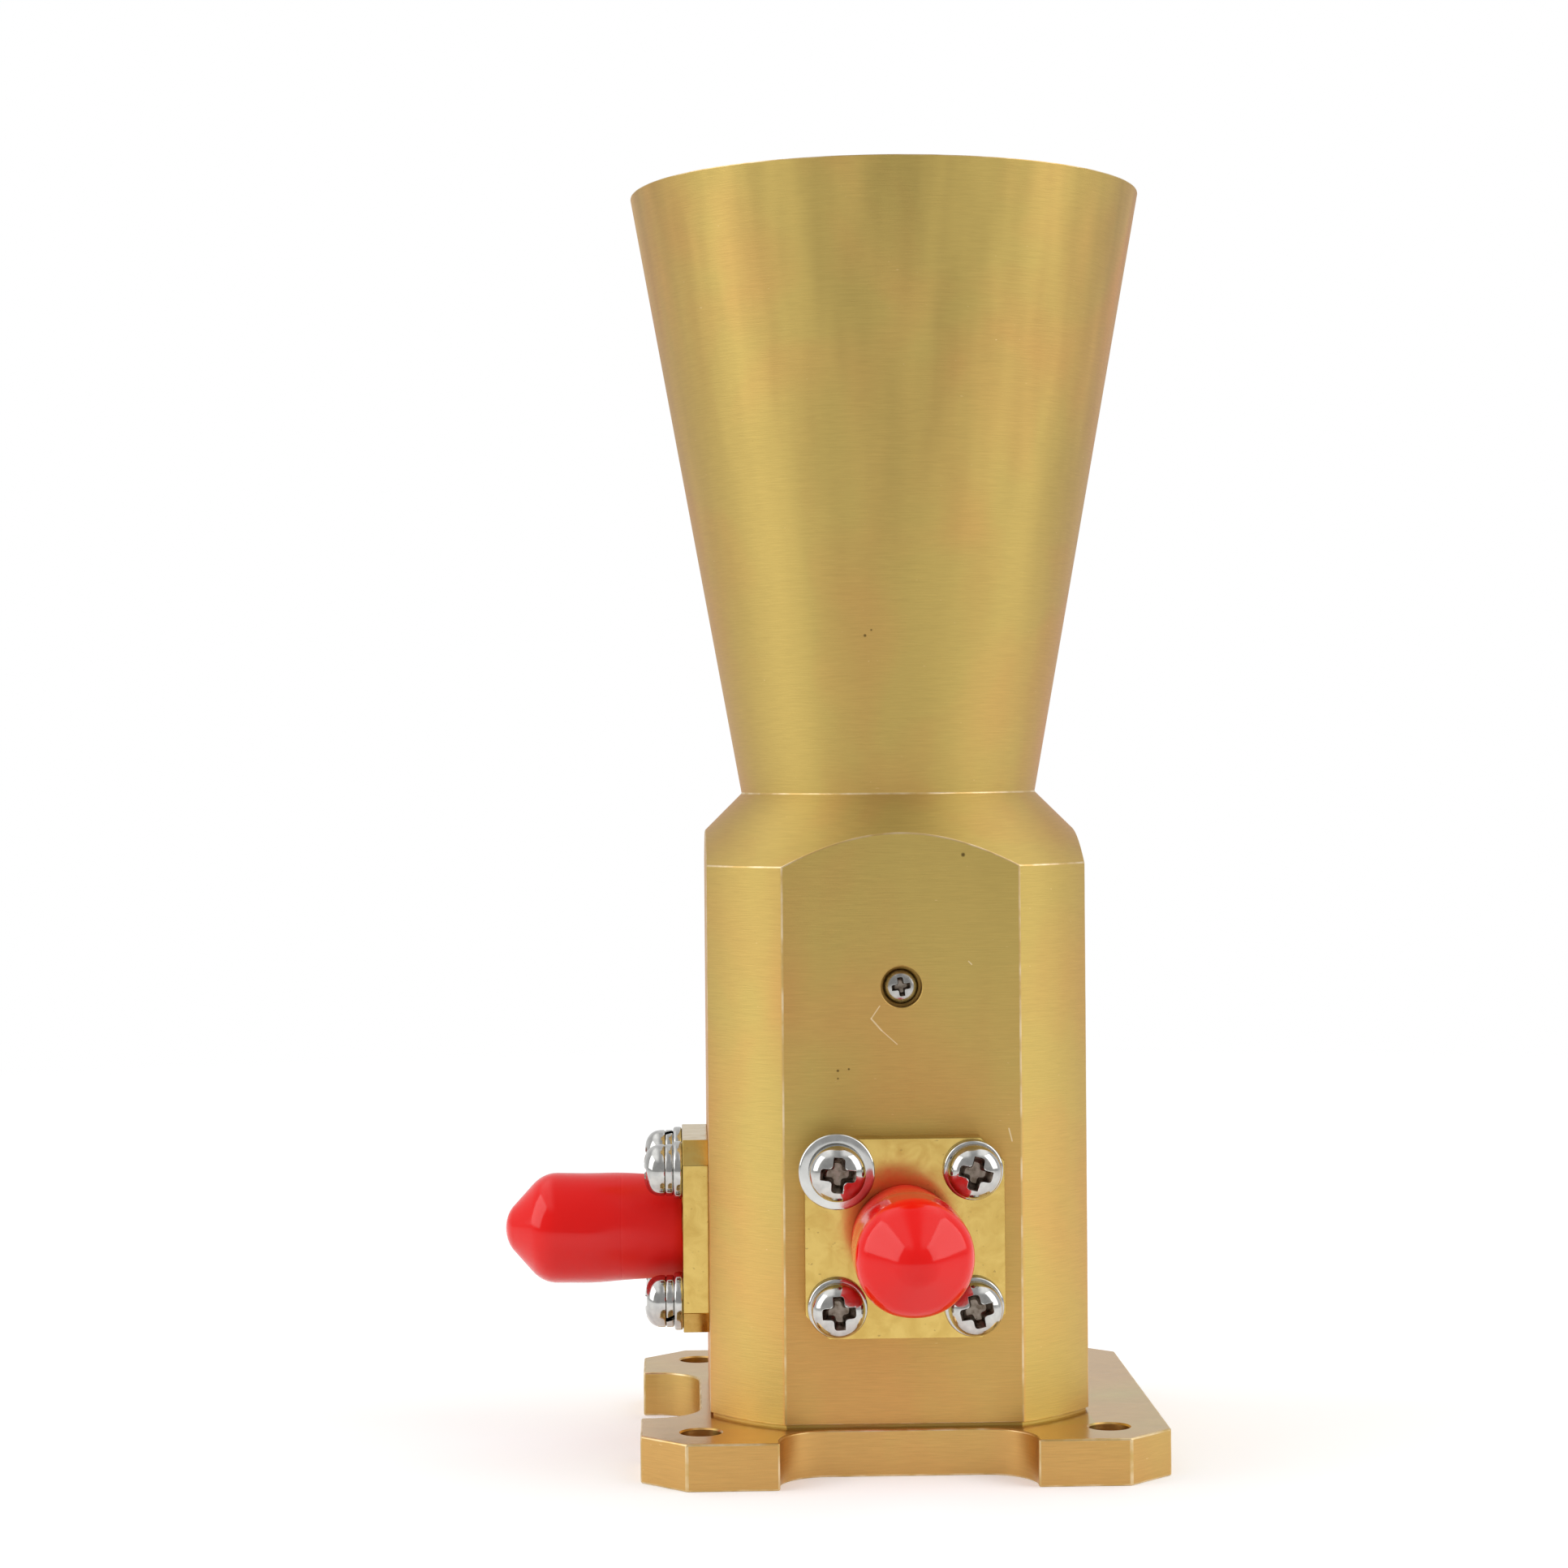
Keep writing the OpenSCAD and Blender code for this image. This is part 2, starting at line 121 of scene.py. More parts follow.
# %% Helpers for round shapes
def arc(centre_r, centre_z, r, start, end, steps=6):
    """Points of an arc in an outline, with angles in degrees from the outward direction."""
    turns = [radians(start + (end - start) * i / steps) for i in range(steps + 1)]
    return [(centre_r + r * cos(turn), centre_z + r * sin(turn)) for turn in turns]


def lathe(bm, outline, steps=96, closed=True):
    """Spins (radius, height) points once round Z. An open outline starts and ends on the axis."""
    verts = [bm.verts.new((r, 0, z)) for r, z in outline]
    ends = verts[1:] + verts[:1] if closed else verts[1:]
    edges = [bm.edges.new(pair) for pair in zip(verts, ends)]
    bmesh.ops.spin(bm, geom=verts + edges, cent=(0, 0, 0), axis=(0, 0, 1), angle=2 * pi,
                   steps=steps, use_merge=True)
    bmesh.ops.remove_doubles(bm, verts=bm.verts, dist=1e-7)
    bmesh.ops.recalc_face_normals(bm, faces=bm.faces)
    return bm


def ring(inner_r, outer_r, low, high, edge, steps=96):
    """A turned ring with its four rims rounded."""
    section = [(inner_r, low), (outer_r, low), (outer_r, high), (inner_r, high)]
    bm = lathe(bmesh.new(), section, steps)
    round_edges(bm, edge, segments=3)
    return bm


def round_edges(bm, width, sharper_than=25, segments=2, only=lambda edge: True):
    """Bevels every edge that turns by more than an angle in degrees."""
    sharp = [e for e in bm.edges if e.is_manifold and e.calc_face_angle() > radians(sharper_than)
             and only(e)]
    made = bmesh.ops.bevel(bm, geom=sharp, offset=width, offset_type="OFFSET", segments=segments,
                           profile=0.5, affect="EDGES", material=-1, clamp_overlap=True)
    return made["faces"]


def wear_and_highlight(faces):
    """Gives the faces of an edge the second finish, pale from wear and from a painted highlight."""
    for face in faces:
        face.material_index = 1

# %% [markdown]
# Every piece is made in a bmesh and then kept as an object at the origin, untouched by any move,
# so that its place is in its mesh. keep() makes the object, carve() cuts shapes out with booleans
# as a drill or a mill does, add_copies() repeats fasteners, and dress() smooths the shading,
# gives the finish and hides the measured solid that the piece stands for.

# %% Helpers for keeping and cutting
def keep(name, bm, *finishes):
    """Makes an object of a bmesh."""
    bmesh.ops.recalc_face_normals(bm, faces=bm.faces)
    mesh = bpy.data.meshes.new(name)
    for finish in finishes:
        mesh.materials.append(finish)
    bm.to_mesh(mesh)
    bm.free()
    piece = bpy.data.objects.new(name, mesh)
    scene.collection.objects.link(piece)
    return piece


def reopen(piece):
    """Takes a piece's mesh back into a bmesh and removes the piece."""
    bm = bmesh.new()
    bm.from_mesh(piece.data)
    bpy.data.objects.remove(piece)
    return bm


def settle(piece):
    """Bakes a piece's modifiers into its mesh."""
    graph = bpy.context.evaluated_depsgraph_get()
    baked = bpy.data.meshes.new_from_object(piece.evaluated_get(graph))
    piece.modifiers.clear()
    piece.data = baked
    return piece


def carve(piece, *cutters):
    """Cuts the cutters out of the piece, one after another, and throws them away."""
    for cutter in cutters:
        cut = piece.modifiers.new("cut", "BOOLEAN")
        cut.operation, cut.solver, cut.object = "DIFFERENCE", "EXACT", cutter
    settle(piece)
    for cutter in cutters:
        bpy.data.objects.remove(cutter)
    return piece


def box_between(bm, low, high):
    """A box from its two corners."""
    low, high = Vector(low), Vector(high)
    size = Matrix.Diagonal((*(high - low), 1))
    return bmesh.ops.create_cube(bm, size=1, matrix=Matrix.Translation((low + high) / 2) @ size)


def add_copies(bm, mesh, places):
    """Adds a copy of the mesh at each place."""
    for place in places:
        start = len(bm.verts)
        bm.from_mesh(mesh)
        bm.verts.ensure_lookup_table()
        bmesh.ops.transform(bm, matrix=place, verts=bm.verts[start:])
    return bm


def at_corners(pitch, height=0.0, turns=(0, 0, 0, 0), which=(0, 1, 2, 3)):
    """Places of the screws of a square pattern, each with its own turn in degrees."""
    return [Matrix.Translation((CORNERS[i][0] * pitch / 2, CORNERS[i][1] * pitch / 2, height))
            @ Matrix.Rotation(radians(turns[i]), 4, "Z") for i in which]


def upright(edge):
    a, b = edge.verts
    return abs(a.co.z - b.co.z) > abs(a.co.x - b.co.x) + abs(a.co.y - b.co.y)


def dress(piece, material, slot, *nodes, crease=40, inside=None):
    """Smooths a piece, gives it its finishes, and hides the measured solids it stands for."""
    places = [face.material_index for face in piece.data.polygons]
    piece.data.materials.clear()
    piece.data.materials.append(material)
    if inside:
        piece.data.materials.append(inside)
        piece.data.polygons.foreach_set("material_index", places)
    for face in piece.data.polygons:
        face.use_smooth = True
    piece.data.set_sharp_from_angle(angle=radians(crease))
    weigh = piece.modifiers.new("weigh", "WEIGHTED_NORMAL")
    weigh.keep_sharp = True
    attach(piece, "root")
    if nodes:
        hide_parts(*nodes)
    print(piece.name, len(piece.data.polygons), "faces")
    return piece

# %% [markdown]
# Materials come before the pieces. A shader is easiest to read when each node is added by one
# short call, so add_node() sets a node's options and its inputs, and links an input that is
# another node's output.

# %% Node helpers
def add_node(tree, kind, options=None, **inputs):
    """Adds a shader node. A number after i names an input by its place."""
    made = tree.nodes.new("ShaderNode" + kind)
    for name, value in (options or {}).items():
        setattr(made, name, value)
    for name, value in inputs.items():
        socket = made.inputs[int(name[1:]) if name[1:].isdigit() else name.replace("_", " ")]
        if isinstance(value, bpy.types.NodeSocket):
            tree.links.new(value, socket)
        else:
            socket.default_value = value
    return made


def new_finish(name, **inputs):
    """Starts a material with these values on its own shader."""
    made = bpy.data.materials.new(name)
    made.use_nodes = True
    shader = made.node_tree.nodes["Principled BSDF"]
    for socket, value in inputs.items():
        shader.inputs[socket.replace("_", " ")].default_value = value
    place = add_node(made.node_tree, "TexCoord").outputs["Object"]
    return made, made.node_tree, shader, place


def noise(tree, place, size, detail=2.0, roughness=0.5, distortion=0.0):
    """Noise whose grains have a size in millimetres, one number or one for each axis."""
    sizes = size if hasattr(size, "__len__") else (size, size, size)
    scaled = add_node(tree, "Mapping", Vector=place, Scale=[1 / (s * MM) for s in sizes])
    made = add_node(tree, "TexNoise", Vector=scaled.outputs["Vector"], Scale=1.0, Detail=detail,
                    Roughness=roughness, Distortion=distortion)
    return made.outputs["Fac"]


def math(tree, operation, a, b=0.0):
    return add_node(tree, "Math", {"operation": operation}, i0=a, i1=b).outputs[0]


def blend(tree, factor, a, b, kind="MIX"):
    """Mixes two colours by a factor."""
    made = add_node(tree, "Mix", {"data_type": "RGBA", "blend_type": kind}, i0=factor, i6=a, i7=b)
    return made.outputs[2]


def stretch(tree, value, low, high, out_low=0.0, out_high=1.0):
    """Maps a range onto another one, clamped."""
    return add_node(tree, "MapRange", Value=value, From_Min=low, From_Max=high, To_Min=out_low,
                    To_Max=out_high).outputs["Result"]

# %% [markdown]
# A yellow chromate skin is a thin film over turned or milled aluminium, so it shines along the
# tool's grain and drifts between orange and green with its thickness. A noise stretched along
# the cut gives the grain. A soft cloud and a noise of long upright streaks give the drift. The
# flats run more to orange near the base. The upright light and dark bands on the flare towards
# its mouth are painted reflections, and the colour is lighter low down, a painted reflection of
# the bright floor. A few pits and scratches from handling are placed one by one, each as the
# distance from a point or from a short line. An image could hold all this too, but nodes stay
# sharp at any distance.

# %% Chromated aluminium
def spot(tree, place, centre, reach):
    """High near a point given in millimetres, 0 away from it."""
    away = add_node(tree, "VectorMath", {"operation": "DISTANCE"}, i0=place, i1=Vector(centre) * MM)
    return stretch(tree, away.outputs["Value"], 0.4 * reach * MM, reach * MM, 0.85, 0.0)


def scratch(tree, place, start, end, width):
    """High near the line between two points given in millimetres, 0 away from it."""
    start, run = Vector(start) * MM, (Vector(end) - Vector(start)) * MM
    offset = add_node(tree, "VectorMath", {"operation": "SUBTRACT"}, i0=place,
                      i1=start).outputs["Vector"]
    dot = add_node(tree, "VectorMath", {"operation": "DOT_PRODUCT"}, i0=offset,
                   i1=run / run.length_squared)
    along = add_node(tree, "Clamp", Value=dot.outputs["Value"]).outputs["Result"]
    foot_point = add_node(tree, "VectorMath", {"operation": "SCALE"}, i0=run, Scale=along)
    away = add_node(tree, "VectorMath", {"operation": "DISTANCE"}, i0=offset,
                    i1=foot_point.outputs["Vector"]).outputs["Value"]
    return stretch(tree, away, 0.3 * width * MM, width * MM, 0.7, 0.0)


FACE = -12.35  # Y of the front flat, in millimetres
PITS = [((4.0, FACE, 39.5), 0.17), ((-4.1, FACE, 25.8), 0.11), ((-3.4, FACE, 25.9), 0.09),
        ((-4.1, FACE, 25.3), 0.08), ((-2.1, -11.45, 53.55), 0.13), ((-1.7, -11.57, 53.9), 0.10),
        ((-9.1, -10.4, 66.1), 0.11)]
SCRATCHES = [((-1.4, FACE, 29.9), (-1.95, FACE, 29.1), 0.05),
             ((-1.95, FACE, 29.1), (-1.3, FACE, 28.35), 0.07),
             ((-1.3, FACE, 28.35), (-0.3, FACE, 27.45), 0.045),
             ((4.3, FACE, 32.7), (4.5, FACE, 32.5), 0.05),
             ((6.8, FACE, 22.0), (7.0, FACE, 21.2), 0.06)]
ORANGE_GOLD, GREEN_GOLD = (0.640, 0.385, 0.128, 1), (0.585, 0.436, 0.134, 1)
PALE_NICK, PIT_BROWN, BARE_LINE = (0.9, 0.72, 0.4, 1), (0.10, 0.06, 0.02, 1), (0.95, 0.82, 0.55, 1)


def chromated(name, marks, streaks, sheen, roughness, anisotropy, strength=1.0, pits=(),
              scratches=()):
    """Machined aluminium with a yellow chromate skin. The marks are the grain of the tool."""
    made, tree, shader, place = new_finish(name, Metallic=1.0, Roughness=roughness,
                                           Anisotropic=anisotropy, Specular_Tint=sheen)
    fine = noise(tree, place, marks, detail=3.0, roughness=0.65)
    long = noise(tree, place, streaks, detail=2.0)
    cloud = noise(tree, place, 11.0, detail=2.0, distortion=0.6)
    axes = add_node(tree, "SeparateXYZ", Vector=place).outputs
    height = axes["Z"]
    across, along = (math(tree, "ABSOLUTE", axes[name]) for name in "XY")
    milled = stretch(tree, math(tree, "MAXIMUM", across, along), 12.2 * MM, 12.3 * MM, 0.03, 0.34)
    low_down = math(tree, "MULTIPLY", milled, stretch(tree, height, 8 * MM, 34 * MM, 1.0, 0.0))
    drift = math(tree, "ADD", cloud, math(tree, "MULTIPLY", long, 0.5))
    hue = stretch(tree, math(tree, "SUBTRACT", drift, low_down), 0.42, 0.82)
    colour = blend(tree, hue, ORANGE_GOLD, GREEN_GOLD)
    grain = math(tree, "ADD", fine, math(tree, "MULTIPLY", long, 0.6))
    shade = stretch(tree, grain, 0.4, 1.2, 0.88, 1.08)
    # Painted reflection: upright light and dark bands on the flare, growing towards its mouth.
    painted_reflection_bands = stretch(tree, noise(tree, place, (3.2, 3.2, 70.0)), 0.35, 0.65, 0.88, 1.08)
    fading = stretch(tree, height, 50 * MM, 80 * MM, 0.0, 1.0)
    colour = blend(tree, fading, colour, blend(tree, 1.0, colour, painted_reflection_bands, "MULTIPLY"))
    # Painted reflection: the colour is lighter low down, where the metal faces the bright floor.
    painted_floor_reflection = stretch(tree, height, 2 * MM, 40 * MM, 1.16 * strength, 0.96 * strength)
    colour = blend(tree, 1.0, blend(tree, 1.0, colour, shade, "MULTIPLY"), painted_floor_reflection, "MULTIPLY")
    nicks = stretch(tree, noise(tree, place, (0.5, 0.5, 0.12), detail=1.0), 0.80, 0.84, 0.0, 0.5)
    colour = blend(tree, nicks, colour, PALE_NICK)
    for centre, reach in pits:
        colour = blend(tree, spot(tree, place, centre, reach), colour, PIT_BROWN)
    for start, end, width in scratches:
        colour = blend(tree, scratch(tree, place, start, end, width), colour, BARE_LINE)
    tree.links.new(colour, shader.inputs["Base Color"])
    bump = add_node(tree, "Bump", Strength=0.6, Distance=0.02 * MM, Height=fine)
    tree.links.new(bump.outputs["Normal"], shader.inputs["Normal"])
    direction = add_node(tree, "CombineXYZ", X=0.02, Y=0.03, Z=1.0)
    tree.links.new(direction.outputs["Vector"], shader.inputs["Tangent"])
    print(name, len(tree.nodes), "nodes")
    return made


turned_gold = chromated("turned_gold", (1.6, 1.6, 0.07), (5.0, 5.0, 45.0), (1.0, 0.78, 0.95, 1),
                        0.55, 0.45, pits=PITS, scratches=SCRATCHES)
plate_gold = chromated("plate_gold", (1.8, 1.8, 0.10), (9.0, 9.0, 20.0), (1.0, 1.0, 1.0, 1),
                       0.36, 0.2, strength=0.86)

# %% [markdown]
# The plate's top was cut with a face mill and is smoother than its sides, so its roughness falls
# where the surface faces up. On all edges the skin is rubbed thin and the metal shines through.
# That could be painted by hand. Here the faces of the bevels simply get a finish of their own,
# paler in patches: partly the bare metal of the rubbed skin, partly a painted highlight along the
# edges.

# %% Smooth plate top, and worn edges with a painted highlight
tree, shader = plate_gold.node_tree, plate_gold.node_tree.nodes["Principled BSDF"]
outwards = add_node(tree, "TexCoord").outputs["Normal"]
facing_up = add_node(tree, "SeparateXYZ", Vector=outwards).outputs["Z"]
tree.links.new(stretch(tree, facing_up, 0.6, 0.9, 0.36, 0.22), shader.inputs["Roughness"])

# The bevels' finish is pale partly from rubbed skin and partly as a painted edge highlight.
worn_and_highlight_gold, tree, shader, place = new_finish("worn_and_highlight_gold", Metallic=1.0, Roughness=0.38)
rubbed = stretch(tree, noise(tree, place, 1.6, detail=3.0), 0.4, 0.65)
tree.links.new(blend(tree, rubbed, (0.62, 0.42, 0.15, 1), (0.80, 0.63, 0.38, 1)),
               shader.inputs["Base Color"])
print("worn_and_highlight_gold", len(tree.nodes), "nodes")

# %% [markdown]
# The connectors' flanges are brass with a bright gold plate. It is smoother than the chromate,
# slightly dented by the stamping, and speckled where the plate is thin. Blotches of a few
# millimetres change its colour and its polish together, because a thinner plate is both darker
# and duller.

# %% Gold plate
PLATE_LIGHT, PLATE_DARK = (0.655, 0.465, 0.14, 1), (0.59, 0.395, 0.105, 1)
SPECK = (0.30, 0.19, 0.06, 1)
flange_gold, tree, shader, place = new_finish("flange_gold", Metallic=1.0)
blotch = noise(tree, place, 1.3, detail=3.0, roughness=0.6, distortion=0.8)
colour = blend(tree, stretch(tree, blotch, 0.35, 0.7), PLATE_LIGHT, PLATE_DARK)
specks = stretch(tree, noise(tree, place, (0.34, 0.34, 0.22), detail=1.0), 0.735, 0.77, 0.0, 0.55)
tree.links.new(blend(tree, specks, colour, SPECK), shader.inputs["Base Color"])
tree.links.new(stretch(tree, blotch, 0.3, 0.7, 0.12, 0.22), shader.inputs["Roughness"])
dents = add_node(tree, "Bump", Strength=0.25, Distance=0.04 * MM,
                 Height=noise(tree, place, 2.2, detail=2.0))
tree.links.new(dents.outputs["Normal"], shader.inputs["Normal"])
print("flange_gold", len(tree.nodes), "nodes")

# %% [markdown]
# The small parts are nickel-plated steel, gold-plated contacts and white plastic. Up close none
# of them is even: handling leaves a haze whose patches are about half a millimetre wide, and the
# plating is never quite flat. One function makes them all from two colours, a grain and a range
# of roughness.

# %% Nickel, contacts and plastic
def speckled(name, dark, light, grain, roughness, **inputs):
    """A finish that drifts between two colours and two roughnesses over a grain in millimetres."""
    made, tree, shader, place = new_finish(name, **inputs)
    rub = noise(tree, place, grain, detail=3.0)
    tree.links.new(blend(tree, stretch(tree, rub, 0.35, 0.65), (*dark, 1), (*light, 1)),
                   shader.inputs["Base Color"])
    tree.links.new(stretch(tree, rub, 0.3, 0.75, *roughness), shader.inputs["Roughness"])
    dents = add_node(tree, "Bump", Strength=0.3, Distance=0.03 * MM,
                     Height=noise(tree, place, 2.2 * grain, detail=2.0))
    tree.links.new(dents.outputs["Normal"], shader.inputs["Normal"])
    print(name, len(tree.nodes), "nodes")
    return made


nickel = speckled("nickel", (0.50, 0.495, 0.48), (0.62, 0.615, 0.59), 0.5, (0.05, 0.16),
                  Metallic=1.0)
bright_nickel = speckled("bright_nickel", (0.60, 0.60, 0.58), (0.68, 0.68, 0.66), 0.8, (0.08, 0.16),
                         Metallic=1.0)
dark_nickel = speckled("dark_nickel", (0.38, 0.375, 0.355), (0.50, 0.49, 0.47), 0.4, (0.16, 0.3),
                       Metallic=1.0)
recess_dark_nickel = speckled("recess_dark_nickel", (0.13, 0.10, 0.075), (0.36, 0.31, 0.26), 0.35, (0.22, 0.5),
                        Metallic=1.0)
contact_gold = speckled("contact_gold", (0.70, 0.47, 0.13), (0.78, 0.56, 0.19), 0.4, (0.12, 0.24),
                        Metallic=1.0)
white_plastic = speckled("white_plastic", (0.76, 0.76, 0.72), (0.83, 0.83, 0.80), 0.6, (0.38, 0.55))

# %% [markdown]
# The caps are soft vinyl. Light goes a little way into it and comes out red, which a small
# subsurface radius gives. The nose is glossy, and the skirt near the flange is duller from
# fingers and dust. How far out a point lies tells nose from skirt, and it is the same number for
# the front cap and the left one.

# %% Red vinyl
red_vinyl, tree, shader, place = new_finish(
    "red_vinyl", Base_Color=(0.88, 0.003, 0.001, 1), IOR=1.5, Specular_IOR_Level=0.40,
    Subsurface_Weight=0.25, Subsurface_Scale=0.6 * MM, Subsurface_Radius=(1.0, 0.25, 0.1))
axes = add_node(tree, "SeparateXYZ", Vector=place).outputs
far_out = math(tree, "MAXIMUM", *(math(tree, "ABSOLUTE", axes[name]) for name in "XY"))
dull = stretch(tree, far_out, flange_y, flange_y + 6 * MM, 0.60, 0.12)
tree.links.new(dull, shader.inputs["Roughness"])
print("red_vinyl", len(tree.nodes), "nodes")

# %% [markdown]
# The horn is one turned and milled piece. It is spun as a closed outline, so the waveguide and
# the flare are open inside from the start. Four cutting planes make the flats. Where a plane
# meets the sloping shoulder it leaves the arch that a milling cutter leaves, with no arithmetic.

# %% Horn, turned and milled
def mill_flats(bm, distance, below):
    """Cuts the part of the shape below a height back to four flats."""
    for side in SIDES:
        low = [f for f in bm.faces if max(v.co.z for v in f.verts) < below + 1e-6]
        parts = [*low, *(e for f in low for e in f.edges), *(v for f in low for v in f.verts)]
        bmesh.ops.bisect_plane(bm, geom=list(dict.fromkeys(parts)), dist=1e-7,
                               plane_co=side * distance, plane_no=side, clear_outer=True)
        bmesh.ops.contextual_create(bm, geom=[e for e in bm.edges if e.is_boundary])
    bmesh.ops.recalc_face_normals(bm, faces=bm.faces)


bm = lathe(bmesh.new(),
           [(body_r, plate_top + foot), (body_r, body_top), (neck_r, neck_z), (mouth_r, mouth_z),
            (mouth_r - wall, mouth_z), (guide_r, neck_z), (guide_r, plate_top + foot)], steps=256)
mill_flats(bm, flat_y, neck_z)
wear_and_highlight(round_edges(bm, 0.07 * MM, sharper_than=15,
                 only=lambda e: e.verts[0].co.xy.length > guide_r + 0.1 * MM))
horn = keep("horn", bm, turned_gold, worn_and_highlight_gold)
print("turned and milled horn", len(horn.data.polygons), "faces")

# %% [markdown]
# Holes are drilled next. A drill is a mesh too: one cylinder for each hole, drawn upright and
# turned onto its flat. The counterbore of the tuning screw gets a slight chamfer, which shows as
# a fine ring of light.

# %% Holes in the horn
def drill(place, bottom, top, *holes):
    """Round cutters of the (x, y, radius) given, from bottom to top, turned to their place."""
    bm = bmesh.new()
    for x, y, r in holes:
        bmesh.ops.create_cone(bm, cap_ends=True, segments=48, radius1=r, radius2=r,
                              depth=top - bottom,
                              matrix=place @ Matrix.Translation((x, y, (bottom + top) / 2)))
    return keep("drill", bm)


screw_holes = [(x * screw_pitch / 2, y * screw_pitch / 2, screw_r + play) for x, y in CORNERS]
base_holes = [(x * base_pitch / 2, y * base_pitch / 2, screw_r + play) for x, y in CORNERS]
tapped_floor, seat_floor, tuner_hole_r = flat_y - 4.6 * MM, guide_r - MM, 0.82 * MM
bore_r, bore_floor, chamfer = 1.325 * MM, flat_y - 1.1 * MM, 0.06 * MM
counterbore = lathe(bmesh.new(), [(0, bore_floor), (bore_r, bore_floor), (bore_r, flat_y - chamfer),
                                  (bore_r + chamfer + MM, flat_y + MM), (0, flat_y + MM)],
                    closed=False)
bmesh.ops.transform(counterbore, matrix=AT_TUNER, verts=counterbore.verts)
carve(horn,
      drill(ON_FRONT, tapped_floor, flat_y + MM, *screw_holes),
      drill(ON_LEFT, tapped_floor, flat_y + MM, *screw_holes),
      drill(ON_FRONT, seat_floor, flat_y + MM, (0, 0, insulator_r + play)),
      drill(ON_LEFT, seat_floor, flat_y + MM, (0, 0, insulator_r + play)),
      drill(AT_TUNER, seat_floor, flat_y - 0.5 * MM, (0, 0, tuner_hole_r)),
      keep("counterbore", counterbore))
print("drilled horn", len(horn.data.polygons), "faces")

# %% [markdown]
# The body stands on a slightly smaller foot, which leaves the dark line that shows where horn and
# plate meet. The foot could be a step in the outline, but the flats have to step back too, so it
# is turned and milled as a short ring of its own and added to the same piece.

# %% Foot of the horn
base = lathe(bmesh.new(), [(body_r - foot, plate_top), (body_r - foot, plate_top + foot + play),
                           (guide_r, plate_top + foot + play), (guide_r, plate_top)], steps=256)
mill_flats(base, flat_y - foot, neck_z)
base_ring = keep("foot", base)
bm = add_copies(reopen(horn), base_ring.data, [Matrix.Identity(4)])
bpy.data.objects.remove(base_ring)
horn = carve(keep("horn_dressed", bm, turned_gold, worn_and_highlight_gold),
             drill(Matrix.Identity(4), plate_top - MM, plate_top + 5 * MM, *base_holes))
dress(horn, turned_gold, "chromated_aluminium", "horn_body", crease=30, inside=worn_and_highlight_gold)

# %% [markdown]
# The base plate starts as a box. Its upright edges are bevelled once for the cut corners, two
# rounded cutters take out the notches, and a fine bevel breaks every edge before the holes are
# drilled.

# %% Base plate
corner_cut, notch_r, edge_break = 2.9 * MM, 3.2 * MM, 0.13 * MM


def notch_cutter(turn):
    """A block with two rounded upright edges, which cuts a notch out of one side."""
    bm = bmesh.new()
    half_width, floor = 8.1 * MM, 13.0 * MM
    box_between(bm, (-half_width, -2 * plate_half, -MM), (half_width, -floor, plate_top + MM))
    inner = [e for e in bm.edges if upright(e) and e.verts[0].co.y > -floor - MM]
    bmesh.ops.bevel(bm, geom=inner, offset=notch_r, offset_type="OFFSET", segments=16, profile=0.5,
                    affect="EDGES", material=-1)
    bmesh.ops.rotate(bm, verts=bm.verts, cent=(0, 0, 0), matrix=Matrix.Rotation(turn, 3, "Z"))
    return keep("notch", bm)


bm = bmesh.new()
box_between(bm, plate_low, plate_high)
bmesh.ops.bevel(bm, geom=[e for e in bm.edges if upright(e)], offset=corner_cut,
                offset_type="OFFSET", segments=1, profile=0.5, affect="EDGES", material=-1)
plate = carve(keep("plate", bm), notch_cutter(0), notch_cutter(-pi / 2))
bm = reopen(plate)
bmesh.ops.dissolve_limit(bm, angle_limit=radians(1), verts=bm.verts, edges=bm.edges)
wear_and_highlight(round_edges(bm, edge_break, segments=3))
plate = keep("base_plate_dressed", bm, plate_gold, worn_and_highlight_gold)
print("base plate", len(plate.data.polygons), "faces")

# %% [markdown]
# Four plain holes take the screws that mount the horn, and four countersunk ones take the screws
# that hold the plate to it from beneath. One turned cutter gives a hole with its chamfers in a
# single cut, where a plain drill would need a bevel afterwards on an edge that a boolean has made
# uneven.

# %% Holes in the base plate
def hole_through(r, top_chamfer, bottom_r, bottom_depth):
    """A through hole with a chamfer above and a countersink below."""
    return lathe(bmesh.new(), [
        (0, -MM), (bottom_r, -MM), (bottom_r, 0), (r, bottom_depth), (r, plate_top - top_chamfer),
        (r + top_chamfer + MM, plate_top + MM), (0, plate_top + MM)], steps=64, closed=False)


mount_hole = keep("mount_hole", hole_through(1.3 * MM, 0.1 * MM, 1.4 * MM, 0.1 * MM))
screw_hole = keep("screw_hole", hole_through(1.1 * MM, 0.02 * MM, 1.9 * MM, 0.8 * MM))
bm = add_copies(bmesh.new(), mount_hole.data, at_corners(mount_pitch))
add_copies(bm, screw_hole.data, at_corners(base_pitch))
bpy.data.objects.remove(mount_hole)
bpy.data.objects.remove(screw_hole)
carve(plate, keep("holes", bm))
dress(plate, plate_gold, "chromated_aluminium", "base_plate", crease=30, inside=worn_and_highlight_gold)

# %% [markdown]
# A cross recess is cut with the shape of the driver's tip. The tip grows from a cube: its four
# sides are pulled out into wings, its lower end is scaled down for the taper, and its inner
# corners are rounded.

